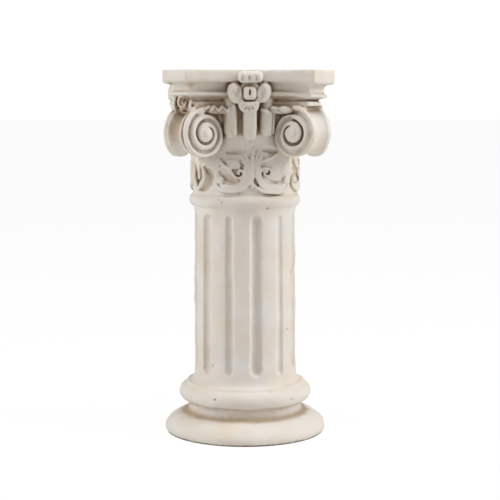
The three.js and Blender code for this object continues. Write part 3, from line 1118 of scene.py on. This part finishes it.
def ivory_wash_and_shade():
    material = bpy.data.materials.new("ivory_wash_and_shade")
    material.use_nodes = True
    tree = material.node_tree
    tree.nodes.clear()
    link = tree.links.new
    output = node(tree, "ShaderNodeOutputMaterial", (1200, 0))
    shader = node(tree, "ShaderNodeBsdfPrincipled", (900, 0))
    shader.inputs["Roughness"].default_value = 0.72
    shader.inputs["Specular IOR Level"].default_value = 0.3
    link(shader.outputs["BSDF"], output.inputs["Surface"])
    place = node(tree, "ShaderNodeTexCoord", (-1200, 0))

    patches = noise_over(tree, place, (-900, 300), 24, 4)
    ivory = node(tree, "ShaderNodeValToRGB", (-650, 300))
    for stop, (position, colour) in zip(ivory.color_ramp.elements, PATCH_COLOURS):
        stop.position = position
        stop.color = colour
    link(patches.outputs["Fac"], ivory.inputs["Fac"])

    # The fine noise shifts both shares by up to 0.11 either way
    broken = noise_over(tree, place, (-900, -100), 160, 5)
    shift = node(tree, "ShaderNodeMath", (-650, -100), operation="MULTIPLY_ADD")
    shift.inputs[1].default_value = 0.22
    shift.inputs[2].default_value = -0.11
    link(broken.outputs["Fac"], shift.inputs[0])
    # The sheltered share paints tan and the crease share paints brown, partly as wash and partly as painted
    # shade
    tan_wash_and_shade = node(tree, "ShaderNodeAttribute", (-1200, -300), attribute_name="tan_wash_and_shade")
    brown_wash_and_shade = node(tree, "ShaderNodeAttribute", (-1200, -500), attribute_name="brown_wash_and_shade")
    tan_wash_and_shade_amount = broken_up(tree, tan_wash_and_shade, shift, (-450, -200))
    fold = broken_up(tree, brown_wash_and_shade, shift, (-450, -500))

    ivory_out = ivory.outputs["Color"]
    # Tan where it is sheltered, brown in the creases and on the foot's edge: wash with painted shade, and a
    # painted contact shadow
    with_tan_wash_and_shade = wash_and_shade_laid(tree, ivory_out, TAN_WASH_AND_SHADE, tan_wash_and_shade_amount, 0.16, 0.62, 0.8, [(-200, -100), (100, 200)])
    with_brown_wash_and_shade = wash_and_shade_laid(tree, with_tan_wash_and_shade, BROWN_WASH_AND_SHADE, fold, 0.05, 0.42, 0.85, [(-200, -400), (350, 200)])
    link(with_brown_wash_and_shade, shader.inputs["Base Color"])

    grain = noise_over(tree, place, (100, -300), 420, 6)
    bump = node(tree, "ShaderNodeBump", (500, -300))
    bump.inputs["Strength"].default_value = 0.25
    bump.inputs["Distance"].default_value = 0.0006
    link(grain.outputs["Fac"], bump.inputs["Height"])
    link(bump.outputs["Normal"], shader.inputs["Normal"])
    return material


casting.data.materials.clear()
casting.data.materials.append(ivory_wash_and_shade())
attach(casting, "root")
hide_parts("pillar")
print("finish on", casting.name)

# %% [markdown]
# ## The floor, the light and the camera
# The photograph is a studio picture on white. Large soft lights stand at the right, at the left and
# above. The floor and the backdrop light the column as pale paper would, but to the camera they are plain
# white. The camera is 1.5 m away and looks slightly down.

# %% Set the stage
EYE_WHITE = 1.02
FLOOR_GLOW = 0.93
SKY_LIGHT = 0.27
LIT_HEIGHT = 0.25

bpy.ops.mesh.primitive_plane_add(size=60, location=(0, 0, 0))
floor = bpy.context.active_object
floor.name = "floor"


def white_to_the_eye(tree, lit, glow):
    """Mixes what lights the column with a plain white that only the camera's own rays see."""
    white = tree.nodes.new("ShaderNodeEmission")
    white.inputs["Color"].default_value = (1, 1, 1, 1)
    white.inputs["Strength"].default_value = EYE_WHITE
    seen = tree.nodes.new("ShaderNodeLightPath")
    share = tree.nodes.new("ShaderNodeMath")
    share.operation = "MULTIPLY"
    share.inputs[1].default_value = glow
    either = tree.nodes.new("ShaderNodeMixShader")
    tree.links.new(seen.outputs["Is Camera Ray"], share.inputs[0])
    tree.links.new(share.outputs["Value"], either.inputs["Fac"])
    tree.links.new(lit, either.inputs[1])
    tree.links.new(white.outputs["Emission"], either.inputs[2])
    return either.outputs["Shader"]


pale = bpy.data.materials.new("pale_floor")
pale.use_nodes = True
pale_tree = pale.node_tree
pale_tree.nodes.clear()
paper = pale_tree.nodes.new("ShaderNodeBsdfDiffuse")
paper.inputs["Color"].default_value = (0.8, 0.8, 0.8, 1)
paper_out = pale_tree.nodes.new("ShaderNodeOutputMaterial")
paper_seen = white_to_the_eye(pale_tree, paper.outputs["BSDF"], FLOOR_GLOW)
pale_tree.links.new(paper_seen, paper_out.inputs["Surface"])
floor.data.materials.append(pale)

world = bpy.data.worlds.new("studio")
bpy.context.scene.world = world
world.use_nodes = True
sky = world.node_tree.nodes["Background"]
sky.inputs["Color"].default_value = (1, 1, 1, 1)
sky.inputs["Strength"].default_value = SKY_LIGHT
sky_seen = white_to_the_eye(world.node_tree, sky.outputs["Background"], 1)
world.node_tree.links.new(sky_seen, world.node_tree.nodes["World Output"].inputs["Surface"])
bpy.context.scene.view_settings.view_transform = "Standard"


def soft_light(name, place, size, power):
    """A square lamp that faces the middle of the column."""
    lamp = bpy.data.lights.new(name, "AREA")
    lamp.shape = "SQUARE"
    lamp.size = size
    lamp.energy = power
    obj = bpy.data.objects.new(name, lamp)
    bpy.context.scene.collection.objects.link(obj)
    obj.location = place
    aim = Vector((0, 0, LIT_HEIGHT)) - Vector(place)
    obj.rotation_euler = aim.to_track_quat("-Z", "Y").to_euler()


soft_light("key_light", (1.9, -0.5, 1.2), 1.0, 29)
soft_light("fill_light", (-1.9, -0.35, 1.1), 1.2, 24)
soft_light("top_light", (0.2, -0.5, 2.3), 1.2, 19)

# The camera was worked out from the photograph: metres, degrees, and the focal length in its pixels
CAMERA_DISTANCE = 1.520
CAMERA_HEIGHT = 0.3645
VIEW_TURN = 3.5
LOOK_DOWN = 6.09
LOOK_RIGHT = 0.21
FOCAL_LENGTH = 1369
PICTURE_WIDTH = 500
SENSOR_WIDTH = 36
camera_data = bpy.data.cameras.new("camera")
camera_data.sensor_width = SENSOR_WIDTH
camera_data.lens = SENSOR_WIDTH * FOCAL_LENGTH / PICTURE_WIDTH
camera = bpy.data.objects.new("camera", camera_data)
bpy.context.scene.collection.objects.link(camera)
turn = math.radians(VIEW_TURN)
camera.location = (-CAMERA_DISTANCE * math.sin(turn), -CAMERA_DISTANCE * math.cos(turn), CAMERA_HEIGHT)
camera.rotation_euler = (math.radians(90 - LOOK_DOWN), 0, math.radians(-VIEW_TURN - LOOK_RIGHT))
bpy.context.scene.camera = camera
print("camera at", [round(v, 3) for v in camera.location])
